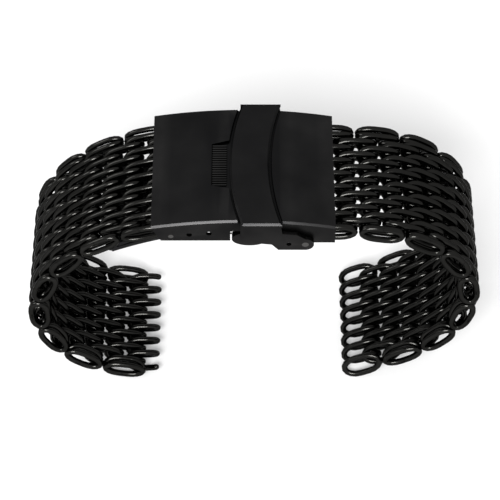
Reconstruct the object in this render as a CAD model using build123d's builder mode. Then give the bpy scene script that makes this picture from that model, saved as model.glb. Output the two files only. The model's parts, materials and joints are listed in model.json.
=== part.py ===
"""A wire mesh watch bracelet with a three-fold clasp, standing as an arch.

Two straps of woven wire coils hang from a short clasp. Each row of a strap is one
flattened coil, hooked through the bends of the rows beside it. The clasp's cover
folds down over two curved blades, and a safety flap lies across the cover.
X runs along the clasp, Y across the strap, Z up. Lengths are in millimetres.
"""

from build123d import *
import math
import os

os.makedirs("parts", exist_ok=True)

# Mesh
strap_width = 21.7
wire = 0.8
strap_thickness = 3.1
row_length = 7.25
row_pitch = 3.85
wide_turns = 8
bend_steps = 2
wire_sides = 4

# How far each row leans on from the row before it, in degrees, read from the photograph
right_slope = 0
right_turns = (0, 3, 7, 10.5, 12, 12.5, 12, 12, 12, 12.5, 12.5, 12.5, 11.5, 10, 7.5, 4.5, 0.5)
left_slope = 10
left_turns = (6.5, 7.5, 8, 8.5, 8.5, 9, 10, 11, 12, 12.5, 13, 13, 13, 13, 13, 13)
end_row_shorter = 0.9
pin_hold = 0.2

# Cover
cover_length = 29.0
mesh_room = 0.25
cover_crown = 1.55
cover_plate = 0.9
side_wall = 0.6
left_wall_drop = 3.3
right_wall_drop = 3.8
wall_step_at = 6.6
wall_end_slant = 1.5
edge_break = 0.3
overrun = 2.0

# Adjusting holes in the side walls, from the cover's left end
adjust_insets = (3.1, 6.0, 9.1)
adjust_depth = 2.85
adjust_hole = 0.9

# Blades
blade_thickness = 0.7
latch_room = 3.1
blade_pin = 1.0
pin_clearance = 0.04
knuckle = 1.9
knuckle_gap = 0.15
fold_inset = 9.3
fold_depth = 0.9
far_fold_reach = 6.8
far_fold_depth = 9.8
centre_knuckle = 7.6
middle_rise = 1.3
inner_rise = 2.3
inner_drop = 0.9
inner_end_inset = 4.7
inner_end_depth = 4.97
window_length = 7.0
window_width = 7.0

# Strap pins
strap_pin_inset = 5.7
strap_pin_depth = 2.65
strap_pin = 1.0
ear_thickness = 1.0
ear_clearance = 0.2
ear_reach = 1.15

# Safety flap
flap_width = 6.3
flap_bow = 1.7
flap_middle_at = 1.0
flap_thickness = 0.8
flap_bed = 0.55
bed_clearance = 0.4
flap_lift = 0.05
flap_side = 0.6
flap_gap = 0.3
flap_drop = 2.5
flap_pivot_inset = 4.7
flap_pivot_depth = 3.2
flap_pin = 1.1
arm_end = 1.35
arm_hole = 0.8
arm_hole_inset = 7.3
arm_hole_depth = 3.1

# Thumb pocket
pocket_width = 10.2
pocket_short = 8.5
pocket_length = 2.5
pocket_depth = 0.35
rib_count = 18
rib_width = 0.25
rib_height = 0.2

# Push buttons and latch
button_at = (1.0, -2.7)
button_length = 5.6
button_height = 3.2
button_head = 1.1
button_proud = 0.2
button_travel = 0.6
notch_clearance = 0.25
notch_flare = 2.2
stem_width = 4.2
stem_thickness = 0.45
stem_drop = 0.15
jaw_reach = 1.9
jaw_gap = 0.12
jaw_swing = 0.6
frame_wall = 0.8
frame_clearance = 0.2
frame_height = 2.0
frame_shoulder = 0.4
frame_floor = 0.4
slot_clearance = 0.1
post = 2.0
post_reach = 3.3
spring_wire = 0.3
spring_outer = 1.5
spring_turns = 3
spring_steps = 6
seat_gap = 0.03

cover_width = strap_width + 2 * (mesh_room + side_wall)
half_width = cover_width / 2
inner_half = half_width - side_wall
right_end = cover_length / 2
left_end = -right_end
adjust_places = [left_end + inset for inset in adjust_insets]
fold_at = (right_end - fold_inset, -fold_depth)
far_fold_at = (left_end - far_fold_reach, -far_fold_depth)
inner_end = (right_end - inner_end_inset, -inner_end_depth)
strap_pin_at = (right_end - strap_pin_inset, -strap_pin_depth)
flap_pivot = (right_end - flap_pivot_inset, -flap_pivot_depth)
arm_hole_at = (right_end - arm_hole_inset, -arm_hole_depth)
blade_width = 2 * (inner_half - latch_room)
cover_radius = (cover_length / 2) ** 2 / (2 * cover_crown) + cover_crown / 2
blade_half = blade_width / 2
frame_length = stem_width + 2 * (slot_clearance + frame_shoulder)
pieces = []


def finish(part, name):
    """Names a finished piece and keeps it for export."""
    part.label = name
    pieces.append(part)


def cover_top(x):
    """The height of the cover's top face at x."""
    return math.sqrt(cover_radius**2 - x**2) - cover_radius + cover_crown


# Woven rows
turn_pitch = (strap_width - wire) / (wide_turns - 1 / 2)
bend_radius = (strap_thickness - wire) / 2
least_gaps = []


def coil_points(turns, shorter):
    """The line of one flattened coil: straight wires on both faces, joined by slanting bends."""
    step = turn_pitch / 2
    start = -(2 * turns - 1) * step / 2
    straight_half = (row_length - shorter - wire) / 2 - bend_radius
    tip = straight_half + bend_radius
    points = [(tip, start, 0)]
    for k in range(2 * turns):
        face = 1 if k % 2 else -1
        if k == 2 * turns - 1:
            points.append((straight_half, start + k * step, face * bend_radius))
            points.append((tip, start + k * step, 0))
        else:
            if k == 0:
                points.append((straight_half, start, face * bend_radius))
            for i in range(bend_steps + 1):
                turn = math.pi * i / bend_steps
                out = straight_half + bend_radius * math.sin(turn)
                along = start + (k + i / bend_steps) * step
                points.append((face * out, along, face * bend_radius * math.cos(turn)))
    return points


def least_gap(points):
    """The smallest gap between one turn of a coil and the next, measured on points of its line."""
    turn = 2 * (bend_steps + 1)
    places = [Vector(*place) for place in points]
    apart = [
        (places[i] - places[j]).length
        for i in range(len(places))
        for j in range(i + turn - 1, len(places))
    ]
    return min(apart) - wire


def coil(turns, shorter=0):
    """One row of the mesh, unbroken from end to end, lying along X with its turns side by side in Y."""
    points = coil_points(turns, shorter)
    least_gaps.append(least_gap(points))
    with BuildPart() as row:
        with BuildLine() as path:
            Polyline(*points)
        with BuildSketch(Plane(origin=points[0], x_dir=(0, 1, 0), z_dir=path.line % 0)):
            RegularPolygon(
                wire * math.sqrt(math.pi) / 4,
                wire_sides,
                major_radius=False,
                rotation=180 / wire_sides,
            )
        sweep(path=path.line, transition=Transition.RIGHT)
    return row.part


def row_places(start, slope, turns, side, shorter=0):
    """Each row's hinge and middle, from the clasp to the free end. side is 1 on the right, -1 on the left.

    shorter is what the row at the clasp lacks in length. That row holds its pin a little inside its bends.
    """
    x, z = start
    angle = slope
    to_far_hinge = (row_pitch - shorter) / 2
    step = 2 * to_far_hinge - pin_hold
    places = []
    for turn in (0, *turns):
        angle += turn
        run = math.cos(math.radians(angle))
        fall = math.sin(math.radians(angle))
        out = step - to_far_hinge
        middle = (x + side * run * out, 0, z - fall * out)
        frame = Plane(origin=middle, x_dir=(side * run, 0, -fall), z_dir=(side * fall, 0, run))
        places.append(((x, 0, z), frame, angle))
        x += side * run * step
        z -= fall * step
        step = row_pitch
        to_far_hinge = row_pitch / 2
    return places


adjust_pin_at = (adjust_places[0], cover_top(adjust_places[0]) - adjust_depth)
right_places = row_places(strap_pin_at, right_slope, right_turns, 1)
left_places = row_places(adjust_pin_at, left_slope, left_turns, -1, end_row_shorter)
wide_row = coil(wide_turns)
narrow_row = coil(wide_turns - 1)
end_row = coil(wide_turns - 1, end_row_shorter)


def strap(name, places, first_row, spin):
    """Places the rows of one strap, narrow ones and wide ones by turns, from the clasp outwards.

    spin turns each coil flat on its own middle: at 180 its free ends point back to the clasp.
    """
    for number, (hinge, frame, angle) in enumerate(places, 1):
        shape = first_row if number == 1 else narrow_row if number % 2 else wide_row
        with BuildPart() as row:
            with Locations(frame.location * Rotation(0, 0, spin)):
                add(shape)
        finish(row.part, f"{name}_row_{number:02d}")


strap("right", right_places, narrow_row, 180)
strap("left", left_places, end_row, 0)


# Cover
def bowed_band(width, clearance):
    """The flap's outline from above: a band across the clasp that bows to the left in the middle."""
    end = half_width + overrun
    bow = flap_bow * (end / half_width) ** 2
    left = flap_middle_at - width / 2 - clearance
    right = flap_middle_at + width / 2 + clearance
    with BuildSketch() as band:
        with BuildLine():
            ThreePointArc((left + bow, -end), (left, 0), (left + bow, end))
            Line((left + bow, end), (right + bow, end))
            ThreePointArc((right + bow, end), (right, 0), (right + bow, -end))
            Line((right + bow, -end), (left + bow, -end))
        make_face()
    return band.sketch


button_x, button_z = button_at
pivot_x, pivot_z = flap_pivot
bed_floor = cover_crown - flap_bed
pocket_right = flap_middle_at - flap_width / 2 - bed_clearance
notch_half = button_length / 2 + notch_clearance
notch_top = button_z + button_height / 2 + notch_clearance

with BuildPart() as cover:
    with BuildSketch(Plane.XZ):
        with BuildLine():
            ThreePointArc((-cover_length / 2, 0), (0, cover_crown), (cover_length / 2, 0))
            Polyline(
                (cover_length / 2, 0),
                (cover_length / 2, -right_wall_drop),
                (wall_step_at, -right_wall_drop),
                (wall_step_at, -left_wall_drop),
                (wall_end_slant - cover_length / 2, -left_wall_drop),
                (-cover_length / 2, 0),
            )
        make_face()
        with Locations(flap_pivot):
            Circle(arm_end)
    extrude(amount=half_width, both=True)
    top_edges = cover.edges().filter_by(GeomType.CIRCLE).group_by(Axis.Z)[-1]
    chamfer(top_edges, edge_break)
    with BuildSketch(Plane.XZ):
        low_radius = cover_radius - cover_plate
        centre_height = cover_crown - cover_radius
        with BuildLine():
            reach = cover_length / 2 + overrun
            level = centre_height + math.sqrt(low_radius**2 - reach**2)
            ThreePointArc((-reach, level), (0, centre_height + low_radius), (reach, level))
            floor = -right_wall_drop - overrun
            Polyline((reach, level), (reach, floor), (-reach, floor), (-reach, level))
        make_face()
    extrude(amount=inner_half, both=True, mode=Mode.SUBTRACT)
    with BuildSketch(Plane.XY.offset(bed_floor)):
        add(bowed_band(flap_width, bed_clearance))
    extrude(amount=overrun, mode=Mode.SUBTRACT)
    with BuildSketch(Plane.XY.offset(cover_crown - pocket_depth - flap_bed / 3)):
        with BuildLine():
            Polyline(
                (pocket_right + flap_bow / 2, -pocket_width / 2),
                (pocket_right + flap_bow / 2, pocket_width / 2),
                (pocket_right - pocket_length, pocket_short / 2),
                (pocket_right - pocket_length, -pocket_short / 2),
                close=True,
            )
        make_face()
    extrude(amount=overrun, mode=Mode.SUBTRACT)
    with BuildSketch(Plane.XZ):
        with Locations(*[(x, cover_top(x) - adjust_depth) for x in adjust_places]):
            Circle(adjust_hole / 2)
        with Locations(fold_at):
            Circle(blade_pin / 2)
        with Locations(flap_pivot):
            Circle(flap_pin / 2)
        with BuildLine():
            Polyline(
                (button_x - notch_half, notch_top),
                (button_x + notch_half, notch_top),
                (button_x + notch_half + notch_flare, -left_wall_drop - overrun),
                (button_x - notch_half, -left_wall_drop - overrun),
                close=True,
            )
        make_face()
    extrude(amount=half_width + overrun, both=True, mode=Mode.SUBTRACT)
    rib_pitch = pocket_short / rib_count
    with Locations((pocket_right - pocket_length / 2, 0, cover_crown - pocket_depth - flap_bed / 3)):
        with GridLocations(0, rib_pitch, 1, rib_count):
            Box(
                pocket_length - rib_width,
                rib_width,
                rib_height,
                align=(Align.CENTER, Align.CENTER, Align.MIN),
            )
finish(cover.part, "cover")


# Pins through the clasp
def cross_pin(place, diameter, length, name):
    """A plain round pin across the clasp."""
    with BuildPart() as pin:
        with BuildSketch(Plane.XZ):
            with Locations(place):
                Circle(diameter / 2)
        extrude(amount=length / 2, both=True)
    finish(pin.part, name)


cross_pin(fold_at, blade_pin, cover_width, "fold_pin")
cross_pin(far_fold_at, blade_pin, blade_width, "blade_pin")
ear_face = inner_half - ear_clearance
cross_pin(strap_pin_at, strap_pin, 2 * ear_face, "strap_pin")

with BuildPart() as spring_bar:
    with BuildSketch(Plane.XZ):
        with Locations(adjust_pin_at):
            Circle(strap_pin / 2)
    extrude(amount=inner_half - seat_gap, both=True)
    with BuildSketch(Plane.XZ):
        with Locations(adjust_pin_at):
            Circle(adjust_hole / 2 - seat_gap)
    extrude(amount=half_width, both=True)
finish(spring_bar.part, "spring_bar")


# Blades
def strip(start, end, rise, thickness):
    """An arched strip seen from the side, from start to end, rising in the middle."""
    start, end = Vector(*start), Vector(*end)
    along = (end - start).normalized()
    up = Vector(-along.Y, along.X)
    up = up if up.Y > 0 else -up
    radius = ((end - start).length ** 2 / 4 + rise**2) / (2 * rise)
    centre = (start + end) / 2 + up * (rise - radius)
    apex = centre + up * radius

    def at(point, lift):
        return centre + (point - centre) * ((radius + lift) / radius)

    half = thickness / 2
    with BuildSketch() as outline:
        with BuildLine():
            ThreePointArc(at(start, half), at(apex, half), at(end, half))
            Line(at(end, half), at(end, -half))
            ThreePointArc(at(end, -half), at(apex, -half), at(start, -half))
            Line(at(start, -half), at(start, half))
        make_face()
    return outline.sketch


def side_pair(inner, outer):
    """The two Y planes and the length of a piece that stands on both sides of the clasp."""
    return [Plane.XZ.offset(inner), Plane.XZ.offset(-outer)], outer - inner


knuckle_split = centre_knuckle / 2
outer_knuckles, outer_knuckle_length = side_pair(knuckle_split + knuckle_gap, blade_half)
bore = blade_pin / 2 + pin_clearance
fold_x, fold_z = fold_at
far_x, far_z = far_fold_at

with BuildPart() as middle_blade:
    with BuildSketch(Plane.XZ):
        add(strip(far_fold_at, fold_at, middle_rise, blade_thickness))
        with Locations(fold_at):
            Circle(knuckle / 2)
    extrude(amount=blade_half, both=True)
    outer_gaps, outer_gap_length = side_pair(knuckle_split, blade_half + overrun)
    for plane in outer_gaps:
        with BuildSketch(plane):
            with Locations(far_fold_at):
                Circle(knuckle / 2 + knuckle_gap)
        extrude(amount=outer_gap_length, mode=Mode.SUBTRACT)
    with BuildSketch(Plane.XZ):
        with Locations(far_fold_at):
            Circle(knuckle / 2)
    extrude(amount=knuckle_split, both=True)
    with BuildSketch(Plane.XZ):
        with Locations(far_fold_at):
            Circle(blade_pin / 2)
        with Locations(fold_at):
            Circle(bore)
    extrude(amount=blade_half + overrun, both=True, mode=Mode.SUBTRACT)
    with Locations((button_x - notch_clearance, 0, fold_z)):
        Box(window_length, window_width, knuckle + 2 * overrun, mode=Mode.SUBTRACT)
finish(middle_blade.part, "middle_blade")

inner_start = (far_x, far_z - inner_drop)
ears, ear_length = side_pair(ear_face - ear_thickness, ear_face)
pin_x, pin_z = strap_pin_at
inner_end_x, inner_end_z = inner_end

with BuildPart() as inner_blade:
    with BuildSketch(Plane.XZ):
        add(strip(inner_start, inner_end, inner_rise, blade_thickness))
    extrude(amount=blade_half, both=True)
    with BuildSketch(Plane.XZ):
        with Locations(far_fold_at):
            Circle(knuckle / 2 + knuckle_gap)
    extrude(amount=knuckle_split + knuckle_gap, both=True, mode=Mode.SUBTRACT)
    for plane in outer_knuckles:
        with BuildSketch(plane):
            with Locations(far_fold_at):
                Circle(knuckle / 2)
        extrude(amount=outer_knuckle_length)
    for plane in ears:
        with BuildSketch(plane):
            with BuildLine():
                Polyline(
                    (pin_x - ear_reach, pin_z),
                    (pin_x + ear_reach, pin_z),
                    (inner_end_x, inner_end_z),
                    (inner_end_x, inner_end_z - blade_thickness / 2),
                    (pin_x - ear_reach, inner_end_z - blade_thickness / 2),
                    close=True,
                )
            make_face()
            with Locations(strap_pin_at):
                Circle(ear_reach)
        extrude(amount=ear_length)
    with Locations((pin_x - ear_reach, 0, inner_end_z)):
        Box(
            inner_end_x - pin_x + ear_reach,
            2 * ear_face,
            blade_thickness,
            align=(Align.MIN, Align.CENTER, Align.CENTER),
        )
    with BuildSketch(Plane.XZ):
        with Locations(far_fold_at):
            Circle(bore)
        with Locations(strap_pin_at):
            Circle(strap_pin / 2)
    extrude(amount=half_width, both=True, mode=Mode.SUBTRACT)
finish(inner_blade.part, "inner_blade")

# Latch
floor_z = button_z - button_height / 2 + notch_clearance
stem_level = button_z - stem_drop
low_stem_level = stem_level - stem_thickness - slot_clearance
frame_at = blade_half + frame_clearance
frame_outer = frame_at + frame_wall

with BuildPart() as latch_frame:
    with Locations((button_x, 0, floor_z)):
        Box(
            frame_length,
            2 * frame_outer,
            frame_floor,
            align=(Align.CENTER, Align.CENTER, Align.MAX),
        )
    for side in (1, -1):
        with Locations((button_x, side * (frame_at + frame_wall / 2), floor_z)):
            Box(
                frame_length,
                frame_wall,
                frame_height,
                align=(Align.CENTER, Align.CENTER, Align.MIN),
            )
    for side, level in ((-1, stem_level), (1, low_stem_level)):
        with Locations((button_x, side * (frame_at + frame_wall / 2), level)):
            Box(
                stem_width + 2 * slot_clearance,
                frame_wall + overrun,
                stem_thickness + 2 * slot_clearance,
                mode=Mode.SUBTRACT,
            )
    add(inner_blade.part, mode=Mode.SUBTRACT)
finish(latch_frame.part, "latch_frame")

with BuildPart() as catch_post:
    with BuildSketch(Plane.XY.offset(button_z - post_reach / 4)):
        with Locations((button_x, 0)):
            Circle(post / 2)
    extrude(until=Until.NEXT, target=cover.part)
finish(catch_post.part, "catch_post")

head_outer = half_width + button_proud
head_inner = head_outer - button_head


def push_button(side, level, name):
    """A push button: an oval head outside the wall and a stem whose jaw stands at the catch post."""
    jaw = post / 2 + jaw_gap
    with BuildPart() as button:
        with BuildSketch(Plane.XZ.offset(-side * head_inner)):
            with Locations(button_at):
                Ellipse(button_length / 2, button_height / 2)
        extrude(amount=-side * button_head)
        with Locations((button_x, side * head_inner, level)):
            Box(
                stem_width,
                head_inner + jaw_reach,
                stem_thickness,
                align=(Align.CENTER, Align.MAX if side > 0 else Align.MIN, Align.CENTER),
            )
        with Locations((button_x - jaw_swing / 2, side * button_travel / 2, level)):
            Box(
                2 * jaw + jaw_swing,
                2 * jaw + button_travel,
                stem_thickness + overrun,
                mode=Mode.SUBTRACT,
            )
    finish(button.part, name)


push_button(-1, stem_level, "push_button_near")
push_button(1, low_stem_level, "push_button_far")


def button_spring(side, across, name):
    """A small coil spring beside the stem, between the button's head and the latch frame."""
    length = head_inner - frame_outer - 2 * seat_gap
    radius = (spring_outer - spring_wire) / 2
    count = spring_turns * spring_steps
    level = button_z
    points = []
    for i in range(count + 1):
        turn = 2 * math.pi * i / spring_steps
        along = frame_outer + seat_gap + spring_wire / 2 + (length - spring_wire) * i / count
        place = (across + radius * math.cos(turn), side * along, level + radius * math.sin(turn))
        points.append(place)
    with BuildPart() as spring:
        with BuildLine() as path:
            Polyline(*points)
        with BuildSketch(Plane(origin=points[0], z_dir=path.line % 0)):
            RegularPolygon(spring_wire / 2, wire_sides)
        sweep(path=path.line, transition=Transition.RIGHT)
    finish(spring.part, name)


spring_across = button_x - stem_width / 2 - spring_outer / 2 + seat_gap
button_spring(-1, spring_across, "button_spring_near")
button_spring(1, spring_across, "button_spring_far")

# Safety flap
flap_outer = half_width + flap_gap + flap_side
flap_inner = half_width + flap_gap
flap_bottom = bed_floor + flap_lift
flap_top = flap_bottom + flap_thickness
flap_left = flap_middle_at - flap_width / 2 + flap_bow
flap_right = flap_left + flap_width
flap_sides, flap_side_depth = side_pair(flap_inner, flap_outer)

with BuildPart() as safety_flap:
    with BuildSketch(Plane.XY.offset(flap_bottom)):
        add(bowed_band(flap_width, 0))
        Rectangle(cover_length, 2 * flap_outer, mode=Mode.INTERSECT)
    extrude(amount=flap_thickness)
    chamfer(safety_flap.faces().sort_by(Axis.Z)[-1].edges(), edge_break)
    for plane in flap_sides:
        with BuildSketch(plane):
            with BuildLine():
                Polyline(
                    (flap_left, flap_top - edge_break),
                    (flap_right, flap_top - edge_break),
                    (flap_right + edge_break, pivot_z + 2 * arm_end),
                    (pivot_x - arm_end, pivot_z + 2 * arm_end - edge_break),
                    (pivot_x, pivot_z + arm_end),
                    (pivot_x, pivot_z - arm_end),
                    (flap_right - edge_break, pivot_z - arm_end),
                    (flap_right - arm_end, pivot_z),
                    (flap_left, -flap_drop),
                    close=True,
                )
            make_face()
            with Locations(flap_pivot):
                Circle(arm_end)
            with Locations(flap_pivot):
                Circle(flap_pin / 2 + pin_clearance, mode=Mode.SUBTRACT)
            with Locations(arm_hole_at):
                Circle(arm_hole / 2, mode=Mode.SUBTRACT)
        extrude(amount=flap_side_depth)
finish(safety_flap.part, "safety_flap")

with BuildPart() as flap_pins:
    pin_planes, pin_length = side_pair(inner_half, flap_outer)
    for plane in pin_planes:
        with BuildSketch(plane):
            with Locations(flap_pivot):
                Circle(flap_pin / 2)
        extrude(amount=pin_length)
finish(flap_pins.part, "flap_pins")

# The arch stands on the lowest rows, with its middle over the origin
low = min(piece.bounding_box().min.Z for piece in pieces)
reach_left = min(piece.bounding_box().min.X for piece in pieces)
reach_right = max(piece.bounding_box().max.X for piece in pieces)
stand = Location((-(reach_left + reach_right) / 2, 0, -low))

for piece in pieces:
    placed = piece.moved(stand)
    placed.label = piece.label
    export_step(placed, f"parts/{piece.label}.step")

print("least gap between the turns of a row:", round(min(least_gaps), 2), "mm")
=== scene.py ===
"""Dresses the wire mesh watch bracelet: rows woven in round wire, a satin black clasp, a white studio."""

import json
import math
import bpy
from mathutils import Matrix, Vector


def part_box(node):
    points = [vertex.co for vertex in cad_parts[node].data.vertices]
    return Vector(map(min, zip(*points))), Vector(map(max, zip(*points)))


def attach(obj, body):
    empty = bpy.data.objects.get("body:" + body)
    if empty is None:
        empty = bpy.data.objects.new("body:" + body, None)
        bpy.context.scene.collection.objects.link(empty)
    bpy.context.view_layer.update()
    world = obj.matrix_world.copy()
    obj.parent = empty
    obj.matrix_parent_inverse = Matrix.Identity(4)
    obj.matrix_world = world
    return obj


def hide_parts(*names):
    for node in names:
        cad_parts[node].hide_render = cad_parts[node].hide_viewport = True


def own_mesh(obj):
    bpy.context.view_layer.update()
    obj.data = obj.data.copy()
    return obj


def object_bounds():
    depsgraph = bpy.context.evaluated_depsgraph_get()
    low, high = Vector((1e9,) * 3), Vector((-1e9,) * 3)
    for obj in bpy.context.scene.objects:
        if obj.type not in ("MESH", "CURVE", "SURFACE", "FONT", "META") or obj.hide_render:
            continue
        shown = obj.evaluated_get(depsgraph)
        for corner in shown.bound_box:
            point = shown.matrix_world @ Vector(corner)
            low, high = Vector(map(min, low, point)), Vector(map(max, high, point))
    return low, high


bl_info = {
    "name": "Mesh Bracelet",
    "version": (1, 0, 0),
    "blender": (4, 5, 0),
    "location": "View3D > Sidebar > Bracelet",
    "description": "Builds the looks of a wire mesh watch bracelet over its packed solids",
    "category": "Object",
}

import bmesh
import bpy
from mathutils import Matrix, Vector

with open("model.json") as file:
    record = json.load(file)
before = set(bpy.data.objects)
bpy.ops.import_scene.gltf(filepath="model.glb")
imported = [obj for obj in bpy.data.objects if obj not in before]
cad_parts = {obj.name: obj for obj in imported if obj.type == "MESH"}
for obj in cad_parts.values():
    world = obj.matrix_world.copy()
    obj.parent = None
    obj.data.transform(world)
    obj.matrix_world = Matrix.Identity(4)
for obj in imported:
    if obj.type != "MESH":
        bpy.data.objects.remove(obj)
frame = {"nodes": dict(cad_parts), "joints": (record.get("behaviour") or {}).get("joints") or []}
cad_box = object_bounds()
COVER_LOW, COVER_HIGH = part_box("cover")

FRAME_PIXELS = 500
RIGHT_END = "right_row_18"
LEFT_END = "left_row_17"
HOOK_SHARE = 0.4
DOME_ANGLES = (math.pi / 2, math.pi / 3, math.pi / 8)
DOME_TIP = 0.02
ROUNDED_FROM = math.radians(32)
MIX_SHARE, MIX_FIRST, MIX_SECOND, MIX_COLOUR = 0, 6, 7, 2


class MeshSettings(bpy.types.PropertyGroup):
    """Sizes of the woven rows."""

    wire: bpy.props.FloatProperty(
        name="Wire",
        description="Thickness of the round wire",
        default=0.00105,
        unit="LENGTH",
    )
    thickness: bpy.props.FloatProperty(
        name="Thickness",
        description="Thickness of the mesh over its outer wires",
        default=0.0037,
        unit="LENGTH",
    )
    slim_thickness: bpy.props.FloatProperty(
        name="Slim Thickness",
        description="Thickness of the rows beside the clasp's blades, the same as the solid rows have",
        default=0.0031,
        unit="LENGTH",
    )
    slim_wire: bpy.props.FloatProperty(
        name="Slim Wire",
        description="Thickness of the wire in the rows beside the clasp's blades",
        default=0.00095,
        unit="LENGTH",
    )
    right_slim_rows: bpy.props.IntProperty(
        name="Right Slim Rows",
        description="How many rows of the right strap lie beside the clasp's blades",
        default=0,
    )
    left_slim_rows: bpy.props.IntProperty(
        name="Left Slim Rows",
        description="How many rows of the left strap lie beside the clasp's blades",
        default=4,
    )
    growing_rows: bpy.props.IntProperty(
        name="Growing Rows",
        description="Over how many rows the mesh grows from its slim thickness to its full one",
        default=3,
    )
    row_length: bpy.props.FloatProperty(
        name="Row Length",
        description="Length of one row, over its bends",
        default=0.00755,
        unit="LENGTH",
    )
    pin_row_shorter: bpy.props.FloatProperty(
        name="Pin Row Shorter",
        description="What the right strap's row on its pin lacks in length",
        default=0.0003,
        unit="LENGTH",
    )
    bar_row_shorter: bpy.props.FloatProperty(
        name="Bar Row Shorter",
        description="What the left strap's row on its spring bar lacks in length",
        default=0.0012,
        unit="LENGTH",
    )
    free_row_shorter: bpy.props.FloatProperty(
        name="Free Row Shorter",
        description="What the left strap's last row lacks in length at its free side",
        default=0.0014,
        unit="LENGTH",
    )
    flat_share: bpy.props.FloatProperty(
        name="Flat Share",
        description="Share of a row's length that lies flat; the rest curves into its oval ends",
        default=0.25,
        subtype="FACTOR",
    )
    width: bpy.props.FloatProperty(
        name="Width",
        description="Width of the strap over its wide rows",
        default=0.0217,
        unit="LENGTH",
    )
    wide_turns: bpy.props.IntProperty(
        name="Turns",
        description="Turns of wire in a wide row; a narrow row has one less",
        default=8,
    )
    wire_sides: bpy.props.IntProperty(
        name="Wire Sides",
        description="Flats round the wire",
        default=12,
    )
    bend_steps: bpy.props.IntProperty(
        name="Bend Steps",
        description="Steps in each bend of the wire",
        default=8,
    )
    colour: bpy.props.FloatVectorProperty(
        name="Wire Colour",
        description="Colour of the coated wire",
        subtype="COLOR",
        default=(0.0195, 0.0193, 0.0182),
    )


class ClaspSettings(bpy.types.PropertyGroup):
    """Sizes and colours of the clasp."""

    cover_edge: bpy.props.FloatProperty(
        name="Cover Edge",
        description="How far the cover's edges are rounded",
        default=0.0003,
        unit="LENGTH",
    )
    small_edge: bpy.props.FloatProperty(
        name="Small Edge",
        description="How far the edges of the buttons and the blades are rounded",
        default=0.00006,
        unit="LENGTH",
    )
    cover_colour: bpy.props.FloatVectorProperty(
        name="Cover Colour",
        description="Colour of the cover, the flap and the buttons",
        subtype="COLOR",
        default=(0.0135, 0.0135, 0.014),
    )
    blade_colour: bpy.props.FloatVectorProperty(
        name="Blade Colour",
        description="Colour of the folding blades",
        subtype="COLOR",
        default=(0.018, 0.018, 0.019),
    )
    bare_colour: bpy.props.FloatVectorProperty(
        name="Bare Colour",
        description="Colour of the steel where the coating has rubbed thin",
        subtype="COLOR",
        default=(0.16, 0.155, 0.15),
    )
    spring_wire: bpy.props.FloatProperty(
        name="Spring Wire",
        description="Thickness of the button springs' wire",
        default=0.0003,
        unit="LENGTH",
    )
    spring_turns: bpy.props.IntProperty(
        name="Spring Turns",
        description="Turns in each button spring",
        default=3,
    )
    spring_steps: bpy.props.IntProperty(
        name="Spring Steps",
        description="Steps in each turn of a button spring",
        default=20,
    )
    spring_sides: bpy.props.IntProperty(
        name="Spring Sides",
        description="Flats round the button springs' wire",
        default=8,
    )
    button_travel: bpy.props.FloatProperty(
        name="Button Travel",
        description="How far a button is pushed in, and so how much its spring shortens",
        default=0.0006,
        unit="LENGTH",
    )
    pin_colour: bpy.props.FloatVectorProperty(
        name="Pin Colour",
        description="Colour of the rivets and the spring bar",
        subtype="COLOR",
        default=(0.08, 0.078, 0.076),
    )
    spring_colour: bpy.props.FloatVectorProperty(
        name="Spring Colour",
        description="Colour of the button springs' bare steel",
        subtype="COLOR",
        default=(0.42, 0.41, 0.40),
    )


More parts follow.
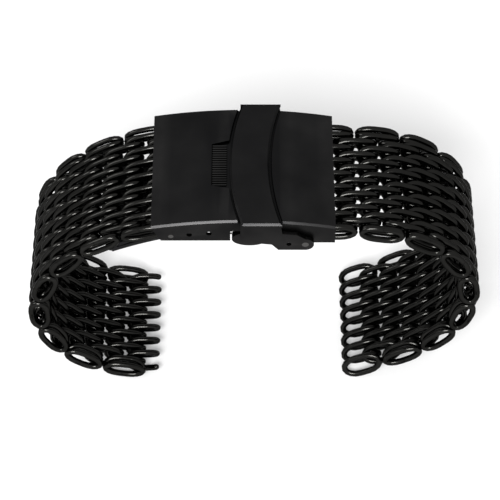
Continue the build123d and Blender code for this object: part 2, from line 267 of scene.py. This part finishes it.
class StageSettings(bpy.types.PropertyGroup):
    """The camera's place and the light."""

    aim_depth: bpy.props.FloatProperty(
        name="Aim Depth",
        description="How far below the cover's highest point the clasp's middle is taken",
        default=0.00155,
        unit="LENGTH",
    )
    camera_height: bpy.props.FloatProperty(
        name="Camera Height",
        description="Angle of the line from the clasp to the camera above the horizon",
        default=math.radians(50.43),
        subtype="ANGLE",
    )
    camera_distance: bpy.props.FloatProperty(
        name="Camera Distance",
        description="From the clasp's middle to the camera",
        default=0.3288,
        unit="LENGTH",
    )
    pixels_across: bpy.props.FloatProperty(
        name="Focal Length In Pixels",
        description="Focal length of the camera in pixels of a frame 500 pixels wide",
        default=2053.0,
    )
    clasp_right: bpy.props.FloatProperty(
        name="Clasp Right",
        description="Pixels from the middle of the frame right to the clasp's middle",
        default=-6.78,
    )
    clasp_up: bpy.props.FloatProperty(
        name="Clasp Up",
        description="Pixels from the middle of the frame up to the clasp's middle",
        default=79.91,
    )
    floor_colour: bpy.props.FloatVectorProperty(
        name="Floor Colour",
        description="Colour of the floor",
        subtype="COLOR",
        default=(0.55, 0.55, 0.55),
    )
    floor_reach: bpy.props.FloatProperty(
        name="Floor Reach",
        description="How far the floor goes from its middle to each side",
        default=3.0,
        unit="LENGTH",
    )
    floor_glow: bpy.props.FloatProperty(
        name="Floor Glow",
        description="How much brighter the camera sees the floor than its light alone makes it",
        default=0.22,
    )
    world_light: bpy.props.FloatProperty(
        name="World Light",
        description="Strength of the even light from all round",
        default=0.8,
    )
    front_lamp_place: bpy.props.FloatVectorProperty(
        name="Front Lamp Place",
        description="Where the broad lamp in front of the bracelet hangs",
        subtype="TRANSLATION",
        default=(-0.12, -0.55, 0.55),
    )
    front_lamp_size: bpy.props.FloatVectorProperty(
        name="Front Lamp Size",
        description="Width and height of the front lamp",
        size=2,
        unit="LENGTH",
        default=(0.35, 0.22),
    )
    front_lamp_power: bpy.props.FloatProperty(
        name="Front Lamp Power",
        description="Power of the front lamp",
        default=9.0,
        unit="POWER",
    )
    left_lamp_place: bpy.props.FloatVectorProperty(
        name="Left Lamp Place",
        description="Where the weaker lamp at the left hangs",
        subtype="TRANSLATION",
        default=(-0.6, 0.05, 0.45),
    )
    left_lamp_size: bpy.props.FloatVectorProperty(
        name="Left Lamp Size",
        description="Width and height of the left lamp",
        size=2,
        unit="LENGTH",
        default=(0.3, 0.3),
    )
    left_lamp_power: bpy.props.FloatProperty(
        name="Left Lamp Power",
        description="Power of the left lamp",
        default=1.8,
        unit="POWER",
    )


SETTINGS = {
    "bracelet_mesh": MeshSettings,
    "bracelet_clasp": ClaspSettings,
    "bracelet_stage": StageSettings,
}


# Materials


def group_with(name, inputs, outputs):
    """A new shader node group with those sockets, and its input and output nodes."""
    group = bpy.data.node_groups.new(name, "ShaderNodeTree")
    for label, kind, value in inputs:
        socket = group.interface.new_socket(name=label, in_out="INPUT", socket_type=kind)
        socket.default_value = value
    for label, kind in outputs:
        group.interface.new_socket(name=label, in_out="OUTPUT", socket_type=kind)
    enter = group.nodes.new("NodeGroupInput")
    leave = group.nodes.new("NodeGroupOutput")
    return group, enter, leave


def arithmetic(tree, operation, first, second):
    """A Math node on two sockets or numbers."""
    node = tree.nodes.new("ShaderNodeMath")
    node.operation = operation
    for socket, value in zip(node.inputs, (first, second)):
        if isinstance(value, (int, float)):
            socket.default_value = value
        else:
            tree.links.new(value, socket)
    return node.outputs[0]


def remap(tree, value, low=0.0, high=1.0, to_low=0.0, to_high=1.0):
    """A Map Range node: what goes from low to high comes out from to_low to to_high."""
    node = tree.nodes.new("ShaderNodeMapRange")
    node.inputs["From Min"].default_value = low
    node.inputs["From Max"].default_value = high
    node.inputs["To Min"].default_value = to_low
    node.inputs["To Max"].default_value = to_high
    tree.links.new(value, node.inputs["Value"])
    return node.outputs[0]


def noise(tree, place, detail):
    """A noise texture at a place on the piece."""
    node = tree.nodes.new("ShaderNodeTexNoise")
    node.inputs["Detail"].default_value = detail
    tree.links.new(place, node.inputs["Vector"])
    return node


def dimmed(tree, colour, share):
    """A colour times a share of it."""
    node = tree.nodes.new("ShaderNodeVectorMath")
    node.operation = "SCALE"
    tree.links.new(colour, node.inputs[0])
    tree.links.new(share, node.inputs["Scale"])
    return node.outputs[0]


def coated_steel_group():
    """Blasted, coated steel: a fine grain, cloudy changes of tone, thin coating on edges, and painted
    shade that darkens the piece's own inner hollows.
    """
    if "Coated Steel" in bpy.data.node_groups:
        return bpy.data.node_groups["Coated Steel"]
    group, enter, leave = group_with(
        "Coated Steel",
        (
            ("Coat", "NodeSocketColor", (0.015, 0.015, 0.015, 1)),
            ("Bare", "NodeSocketColor", (0.16, 0.16, 0.16, 1)),
            ("Wear", "NodeSocketFloat", 0.3),
            # How strongly the painted shade darkens the piece's inner hollows.
            ("Corners", "NodeSocketFloat", 0.0),
            ("Grain", "NodeSocketFloat", 4000.0),
            ("Stretch", "NodeSocketVector", (1, 1, 1)),
            ("Roughness", "NodeSocketFloat", 0.35),
        ),
        (
            ("Color", "NodeSocketColor"),
            ("Roughness", "NodeSocketFloat"),
            ("Height", "NodeSocketFloat"),
        ),
    )
    nodes, links = group.nodes, group.links

    # The grain gives the relief, and the slower cloud everything that changes from place to place.
    place = nodes.new("ShaderNodeTexCoord").outputs["Object"]
    stretch = nodes.new("ShaderNodeMapping")
    links.new(place, stretch.inputs["Vector"])
    links.new(enter.outputs["Stretch"], stretch.inputs["Scale"])
    grain = noise(group, stretch.outputs[0], detail=2.0)
    links.new(enter.outputs["Grain"], grain.inputs["Scale"])
    clouds = noise(group, place, detail=3.0)
    clouds.inputs["Scale"].default_value = 160.0
    cloud = clouds.outputs["Fac"]

    # The coating is rubbed thin on the edges, in patches.
    shape = nodes.new("ShaderNodeNewGeometry")
    edge = remap(group, shape.outputs["Pointiness"], low=0.53, high=0.66)
    patchy = arithmetic(group, "MULTIPLY", edge, cloud)
    worn = arithmetic(group, "MULTIPLY", patchy, enter.outputs["Wear"])
    tone = nodes.new("ShaderNodeMix")
    tone.data_type = "RGBA"
    links.new(worn, tone.inputs[MIX_SHARE])
    links.new(enter.outputs["Coat"], tone.inputs[MIX_FIRST])
    links.new(enter.outputs["Bare"], tone.inputs[MIX_SECOND])
    shade = dimmed(group, tone.outputs[MIX_COLOUR], remap(group, cloud, to_low=0.82, to_high=1.18))

    # Painted shade: where the piece's own surfaces close in, found by ambient occlusion, the colour is
    # darkened.
    corner_occlusion = nodes.new("ShaderNodeAmbientOcclusion")
    corner_occlusion.only_local = True
    corner_occlusion.samples = 8
    corner_occlusion.inputs["Distance"].default_value = 0.0005
    occluded_share = remap(group, corner_occlusion.outputs["AO"], low=0.5, high=0.92, to_low=1.0, to_high=0.0)
    painted_shade = arithmetic(group, "MULTIPLY", occluded_share, enter.outputs["Corners"])
    colour = dimmed(group, shade, arithmetic(group, "SUBTRACT", 1.0, painted_shade))

    swing = remap(group, cloud, to_low=-0.05, to_high=0.05)
    rough = arithmetic(group, "ADD", enter.outputs["Roughness"], swing)
    links.new(colour, leave.inputs["Color"])
    links.new(rough, leave.inputs["Roughness"])
    links.new(grain.outputs["Fac"], leave.inputs["Height"])
    return group


def steel(
    name, coat, bare, *, grain, roughness, relief, edge_tint, stretch=(1, 1, 1), wear=0.0, corner_shade=0.0
):
    """A coated steel material. stretch draws the grain out along an axis for a brushed finish, and the
    corner shade argument sets how much painted shade darkens the piece's inner hollows.
    """
    if name in bpy.data.materials:
        return bpy.data.materials[name]
    material = bpy.data.materials.new(name)
    material.use_nodes = True
    tree = material.node_tree
    shader = tree.nodes["Principled BSDF"]
    finish = tree.nodes.new("ShaderNodeGroup")
    finish.node_tree = coated_steel_group()
    finish.inputs["Coat"].default_value = (*coat, 1)
    finish.inputs["Bare"].default_value = (*bare, 1)
    finish.inputs["Wear"].default_value = wear
    # Strength of the painted shade in the inner hollows.
    finish.inputs["Corners"].default_value = corner_shade
    finish.inputs["Grain"].default_value = grain
    finish.inputs["Stretch"].default_value = stretch
    finish.inputs["Roughness"].default_value = roughness
    bump = tree.nodes.new("ShaderNodeBump")
    bump.inputs["Strength"].default_value = relief
    bump.inputs["Distance"].default_value = 0.00002
    tree.links.new(finish.outputs["Color"], shader.inputs["Base Color"])
    tree.links.new(finish.outputs["Roughness"], shader.inputs["Roughness"])
    tree.links.new(finish.outputs["Height"], bump.inputs["Height"])
    tree.links.new(bump.outputs["Normal"], shader.inputs["Normal"])
    shader.inputs["Metallic"].default_value = 1.0
    shader.inputs["Specular Tint"].default_value = (edge_tint, edge_tint, edge_tint, 1)
    return material


def wire_steel():
    """Smooth black wire."""
    mesh = bpy.context.scene.bracelet_mesh
    bare = bpy.context.scene.bracelet_clasp.bare_colour
    return steel(
        "Black Wire", mesh.colour, bare, wear=0.10, grain=3000, roughness=0.19, relief=0.15, edge_tint=0.45
    )


def cover_steel():
    """Satin black plate."""
    clasp = bpy.context.scene.bracelet_clasp
    return steel(
        "Satin Black Cover",
        clasp.cover_colour,
        clasp.bare_colour,
        wear=0.25,
        # Painted shade in the cover's inner hollows.
        corner_shade=0.85,
        grain=4500,
        roughness=0.36,
        relief=0.12,
        edge_tint=0.3,
    )


def blade_steel():
    """Black plate brushed along its length."""
    clasp = bpy.context.scene.bracelet_clasp
    return steel(
        "Brushed Black Blade",
        clasp.blade_colour,
        clasp.bare_colour,
        wear=0.2,
        # Painted shade in the blades' inner hollows.
        corner_shade=0.6,
        grain=4000,
        stretch=(0.04, 1, 1),
        roughness=0.32,
        relief=0.25,
        edge_tint=0.35,
    )


def pin_steel():
    """Brighter turned steel."""
    colour = bpy.context.scene.bracelet_clasp.pin_colour
    return steel(
        "Bright Pin",
        colour,
        colour,
        grain=5000,
        stretch=(1, 0.05, 1),
        roughness=0.22,
        relief=0.1,
        edge_tint=1.0,
    )


def spring_steel():
    """Bare spring wire."""
    colour = bpy.context.scene.bracelet_clasp.spring_colour
    return steel("Spring Wire", colour, colour, grain=5000, roughness=0.25, relief=0.1, edge_tint=1.0)


# Pieces


def joint_named(name):
    """The joint of that name."""
    return next(joint for joint in frame["joints"] if joint["name"] == name)


def coil_line(turns, wire, thickness, shorter, ends):
    """The middle line of one flattened coil, bend by bend.

    A bend is its side, where along the strap's width it starts and stops, and which part of it there is.
    With ringed ends the outermost wires close into flat rings at the strap's edges and then turn
    inwards, with curled ends they turn back onto the wires next to them, and with hooked ends they
    stop in short hooks.
    """
    mesh = bpy.context.scene.bracelet_mesh
    rise = (thickness - wire) / 2
    tip = (mesh.row_length - shorter - wire) / 2
    half = tip * mesh.flat_share
    step = (mesh.width - mesh.wire) / (mesh.wide_turns - 1 / 2) / 2
    edge = (2 * turns - 1) * step / 2
    bends = []
    for number in range(2 * turns - 1):
        here = number * step - edge
        bends.append((1 if number % 2 else -1, here, here + step, 0.0, 1.0))
    if ends == "ringed":
        ring = [(-1, -edge, -edge, 0.0, 1.0), (1, -edge, -edge, 0.0, 1.0)]
        bends = [(1, step - edge, -edge, 0.0, 1.0), *ring, *bends]
        bends += [(1, edge, edge, 0.0, 1.0), (-1, edge, edge, 0.0, 1.0)]
        bends += [(1, edge, edge - step, 0.0, 1.0)]
    elif ends == "curled":
        bends = [(1, step - edge, -edge, 0.0, 1.0), *bends, (1, edge, edge - step, 0.0, 1.0)]
    else:
        first_hook = (1, -step - edge, -edge, 1 - HOOK_SHARE, 1.0)
        last_hook = (1, edge, edge + step, 0.0, HOOK_SHARE)
        bends = [first_hook, *bends, last_hook]
    line = []
    for side, start, stop, first, last in bends:
        steps = round(mesh.bend_steps * (last - first))
        for i in range(steps + 1):
            turn = math.pi * (first + (last - first) * i / steps)
            out = half + (tip - half) * math.sin(turn)
            along = start + (stop - start) * (1 - math.cos(turn)) / 2
            line.append(Vector((side * out, along, side * rise * math.cos(turn))))
    return line


def round_wire(name, line, radius, sides):
    """A round wire along a line, with domed ends."""
    tangents = []
    for i in range(len(line)):
        before, after = line[max(i - 1, 0)], line[min(i + 1, len(line) - 1)]
        tangents.append((after - before).normalized())
    dome = [(math.sin(angle), math.cos(angle)) for angle in DOME_ANGLES]
    rings = [(line[0] - tangents[0] * radius * out, tangents[0], size) for out, size in dome]
    rings += [(point, tangent, 1) for point, tangent in zip(line, tangents)]
    rings += [(line[-1] + tangents[-1] * radius * out, tangents[-1], size) for out, size in reversed(dome)]
    shape = bmesh.new()
    loops = []
    across = Vector((0, 1, 0))
    for middle, tangent, size in rings:
        side = (across - tangent * across.dot(tangent)).normalized()
        lift = tangent.cross(side)
        reach = radius * max(size, DOME_TIP)
        loop = []
        for i in range(sides):
            turn = 2 * math.pi * i / sides
            spoke = side * math.cos(turn) + lift * math.sin(turn)
            loop.append(shape.verts.new(middle + spoke * reach))
        loops.append(loop)
    for one, two in zip(loops, loops[1:]):
        for i in range(sides):
            j = (i + 1) % sides
            shape.faces.new((one[i], one[j], two[j], two[i]))
    shape.faces.new(list(reversed(loops[0])))
    shape.faces.new(loops[-1])
    bmesh.ops.recalc_face_normals(shape, faces=shape.faces)
    for face in shape.faces:
        face.smooth = True
    data = bpy.data.meshes.new(name)
    shape.to_mesh(data)
    shape.free()
    return data


def piece_of(data, material):
    """A new piece in the scene with that mesh and material."""
    data.materials.append(material)
    piece = bpy.data.objects.new(data.name, data)
    bpy.context.scene.collection.objects.link(piece)
    return piece


def finish_node(name, material, radius=0.0, segments=2):
    """Gives a CAD node its finish and, where radius is more than zero, rounds its edges."""
    node = frame["nodes"][name]
    node.data.materials.clear()
    node.data.materials.append(material)
    if radius:
        bevel = node.modifiers.new("Edges", "BEVEL")
        bevel.width = radius
        bevel.segments = segments
        bevel.limit_method = "ANGLE"
        bevel.angle_limit = ROUNDED_FROM
        bevel.use_clamp_overlap = True
        bevel.harden_normals = False


def row_place(node, side, number, inwards, back):
    """Where a row's coil goes: on its solid's middle, moved inwards and back from its free side."""
    hinge = Vector(joint_named(f"{side}_hinge_{number:02d}")["pos_m"])
    low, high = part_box(node)
    middle = (low + high) / 2
    middle.y = 0
    out = middle - hinge
    out.y = 0
    out.normalize()
    up = Vector((-out.z, 0, out.x)) * (1 if side == "right" else -1)
    middle -= up * inwards + out * back
    if side == "right":
        out = -out
    turned = Matrix((out, up.cross(out), up)).transposed().to_4x4()
    return Matrix.Translation(middle) @ turned


class BRACELET_OT_weave(bpy.types.Operator):
    """Weave the rows of both straps in round wire, each row hooked through its neighbours"""

    bl_idname = "bracelet.weave"
    bl_label = "Weave Straps"

    def execute(self, context):
        mesh = context.scene.bracelet_mesh
        shorter = {
            "right_row_01": mesh.pin_row_shorter,
            "left_row_01": mesh.bar_row_shorter,
            LEFT_END: mesh.free_row_shorter,
        }
        ends = {RIGHT_END: "curled", LEFT_END: "hooked"}
        for node in sorted(n for n in frame["nodes"] if "_row_" in n):
            side, _, number = node.split("_")
            number = int(number)
            slim_rows = mesh.right_slim_rows if side == "right" else mesh.left_slim_rows
            share = min(max((number - slim_rows) / mesh.growing_rows, 0), 1)
            wire = mesh.slim_wire + share * (mesh.wire - mesh.slim_wire)
            extra = share * (mesh.thickness - mesh.slim_thickness)
            line = coil_line(
                mesh.wide_turns - number % 2,
                wire,
                mesh.slim_thickness + extra,
                shorter.get(node, 0),
                ends.get(node, "curled" if number % 2 else "ringed"),
            )
            data = round_wire(f"{node}_wire", line, wire / 2, mesh.wire_sides)
            back = mesh.free_row_shorter / 2 if node == LEFT_END else 0
            data.transform(row_place(node, side, number, extra / 2, back))
            piece = piece_of(data, wire_steel())
            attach(piece, node)
            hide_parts(node)
        return {"FINISHED"}


class BRACELET_OT_cover(bpy.types.Operator):
    """Give the cover, the safety flap and the push buttons their satin black coating and soft edges"""

    bl_idname = "bracelet.cover"
    bl_label = "Finish Cover And Flap"

    def execute(self, context):
        clasp = context.scene.bracelet_clasp
        finish_node("cover", cover_steel(), clasp.cover_edge, 5)
        finish_node("safety_flap", cover_steel())
        for name in ("push_button_near", "push_button_far"):
            finish_node(name, cover_steel(), clasp.small_edge, 3)
        return {"FINISHED"}


class BRACELET_OT_blades(bpy.types.Operator):
    """Give the folding blades and the latch their brushed black finish"""

    bl_idname = "bracelet.blades"
    bl_label = "Finish Blades And Latch"

    def execute(self, context):
        for name in ("middle_blade", "inner_blade"):
            finish_node(name, blade_steel(), context.scene.bracelet_clasp.small_edge)
        for name in ("latch_frame", "catch_post"):
            finish_node(name, blade_steel())
        return {"FINISHED"}


class BRACELET_OT_springs(bpy.types.Operator):
    """Wind the two button springs"""

    bl_idname = "bracelet.springs"
    bl_label = "Wind Button Springs"

    def execute(self, context):
        clasp = context.scene.bracelet_clasp
        for end in ("near", "far"):
            node = f"button_spring_{end}"
            low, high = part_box(node)
            middle = (low + high) / 2
            length = high.y - low.y
            radius = (high.x - low.x - clasp.spring_wire) / 2
            start, rise = low.y + clasp.spring_wire / 2, length - clasp.spring_wire
            steps = clasp.spring_turns * clasp.spring_steps
            line = []
            for i in range(steps + 1):
                turn = 2 * math.pi * i / clasp.spring_steps
                across, up = radius * math.cos(turn), radius * math.sin(turn)
                line.append(Vector((middle.x + across, start + rise * i / steps, middle.z + up)))
            data = round_wire(f"{node}_wire", line, clasp.spring_wire / 2, clasp.spring_sides)
            piece = piece_of(data, spring_steel())
            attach(piece, "inner_blade")
            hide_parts(node)
            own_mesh(piece)
        return {"FINISHED"}


class BRACELET_OT_pins(bpy.types.Operator):
    """Give the pins and the spring bar their steel"""

    bl_idname = "bracelet.pins"
    bl_label = "Finish Pins"

    def execute(self, context):
        for name in ("flap_pins", "spring_bar"):
            finish_node(name, pin_steel())
        for name in ("fold_pin", "blade_pin", "strap_pin"):
            finish_node(name, blade_steel())
        return {"FINISHED"}


# Stage


def set_camera(stage, aim):
    """The camera, turned so that the clasp's middle falls where the photograph has it."""
    height = stage.camera_height
    forward = Vector((0, math.cos(height), -math.sin(height)))
    up = Vector((0, math.sin(height), math.cos(height)))
    camera = bpy.data.cameras.new("camera")
    camera.lens = stage.pixels_across * camera.sensor_width / FRAME_PIXELS
    camera.clip_start = 0.01
    camera.clip_end = 20
    holder = bpy.data.objects.new("camera", camera)
    bpy.context.scene.collection.objects.link(holder)
    holder.location = aim - forward * stage.camera_distance
    look = forward * stage.pixels_across - Vector((1, 0, 0)) * stage.clasp_right - up * stage.clasp_up
    right = look.cross(up).normalized()
    level = Matrix((right, right.cross(look.normalized()), -look.normalized())).transposed()
    holder.rotation_euler = level.to_euler()
    bpy.context.scene.camera = holder


def softbox(name, place, aim, size, power):
    """A rectangular lamp that faces aim."""
    lamp = bpy.data.lights.new(name, "AREA")
    lamp.shape = "RECTANGLE"
    lamp.size, lamp.size_y = size
    lamp.energy = power
    holder = bpy.data.objects.new(name, lamp)
    bpy.context.scene.collection.objects.link(holder)
    holder.location = place
    holder.rotation_euler = (aim - Vector(place)).to_track_quat("-Z", "Y").to_euler()


def background(tree, strength):
    """A white background shader."""
    node = tree.nodes.new("ShaderNodeBackground")
    node.inputs["Color"].default_value = (1, 1, 1, 1)
    node.inputs["Strength"].default_value = strength
    return node.outputs[0]


def set_lights(stage, aim):
    """A broad lamp in front, a weaker one at the left, and an even world that the camera sees as white."""
    softbox("front_lamp", stage.front_lamp_place, aim, stage.front_lamp_size, stage.front_lamp_power)
    softbox("left_lamp", stage.left_lamp_place, aim, stage.left_lamp_size, stage.left_lamp_power)
    world = bpy.data.worlds.new("studio")
    bpy.context.scene.world = world
    world.use_nodes = True
    tree = world.node_tree
    tree.nodes.clear()
    leave = tree.nodes.new("ShaderNodeOutputWorld")
    path = tree.nodes.new("ShaderNodeLightPath")
    mix = tree.nodes.new("ShaderNodeMixShader")
    tree.links.new(path.outputs["Is Camera Ray"], mix.inputs["Fac"])
    tree.links.new(background(tree, stage.world_light), mix.inputs[1])
    tree.links.new(background(tree, 1.0), mix.inputs[2])
    tree.links.new(mix.outputs[0], leave.inputs["Surface"])


def lay_floor(stage):
    """A plain pale floor that the camera sees as white, with a faint shadow."""
    shape = bmesh.new()
    bmesh.ops.create_grid(shape, x_segments=8, y_segments=8, size=stage.floor_reach)
    data = bpy.data.meshes.new("floor")
    shape.to_mesh(data)
    shape.free()
    material = bpy.data.materials.new("White Floor")
    material.use_nodes = True
    tree = material.node_tree
    shader = tree.nodes["Principled BSDF"]
    shader.inputs["Base Color"].default_value = (*stage.floor_colour, 1)
    shader.inputs["Roughness"].default_value = 0.9
    shader.inputs["Specular IOR Level"].default_value = 0.0
    path = tree.nodes.new("ShaderNodeLightPath")
    glow = arithmetic(tree, "MULTIPLY", path.outputs["Is Camera Ray"], stage.floor_glow)
    shader.inputs["Emission Color"].default_value = (1, 1, 1, 1)
    tree.links.new(glow, shader.inputs["Emission Strength"])
    floor = piece_of(data, material)
    floor.location.z = cad_box[0][2]


class BRACELET_OT_stage(bpy.types.Operator):
    """Lay the white floor, hang the soft lights and set the camera at the photograph's angle"""

    bl_idname = "bracelet.stage"
    bl_label = "Set Stage"

    def execute(self, context):
        stage = context.scene.bracelet_stage
        aim = Vector(((COVER_LOW.x + COVER_HIGH.x) / 2, 0, COVER_HIGH.z - stage.aim_depth))
        set_camera(stage, aim)
        set_lights(stage, aim)
        lay_floor(stage)
        return {"FINISHED"}


# Panel and registration


class BRACELET_PT_panel(bpy.types.Panel):
    """The sidebar's list of the bracelet's pieces"""

    bl_idname = "BRACELET_PT_panel"
    bl_label = "Mesh Bracelet"
    bl_space_type = "VIEW_3D"
    bl_region_type = "UI"
    bl_category = "Bracelet"

    def draw(self, context):
        for operator in OPERATORS:
            self.layout.operator(operator.bl_idname)
        for name, group in SETTINGS.items():
            box = self.layout.box()
            for field in group.__annotations__:
                box.prop(getattr(context.scene, name), field)


OPERATORS = (
    BRACELET_OT_stage,
    BRACELET_OT_weave,
    BRACELET_OT_cover,
    BRACELET_OT_blades,
    BRACELET_OT_springs,
    BRACELET_OT_pins,
)


def register():
    for name, group in SETTINGS.items():
        bpy.utils.register_class(group)
        setattr(bpy.types.Scene, name, bpy.props.PointerProperty(type=group))
    for operator in OPERATORS:
        bpy.utils.register_class(operator)
    bpy.utils.register_class(BRACELET_PT_panel)


def unregister():
    bpy.utils.unregister_class(BRACELET_PT_panel)
    for operator in reversed(OPERATORS):
        bpy.utils.unregister_class(operator)
    for name, group in SETTINGS.items():
        delattr(bpy.types.Scene, name)
        bpy.utils.unregister_class(group)


def main():
    """Builds every piece in order."""
    register()
    bpy.context.scene.view_settings.view_transform = "Standard"
    bpy.ops.bracelet.stage()
    bpy.ops.bracelet.weave()
    bpy.ops.bracelet.cover()
    bpy.ops.bracelet.blades()
    bpy.ops.bracelet.springs()
    bpy.ops.bracelet.pins()


if __name__ == "__main__":
    main()
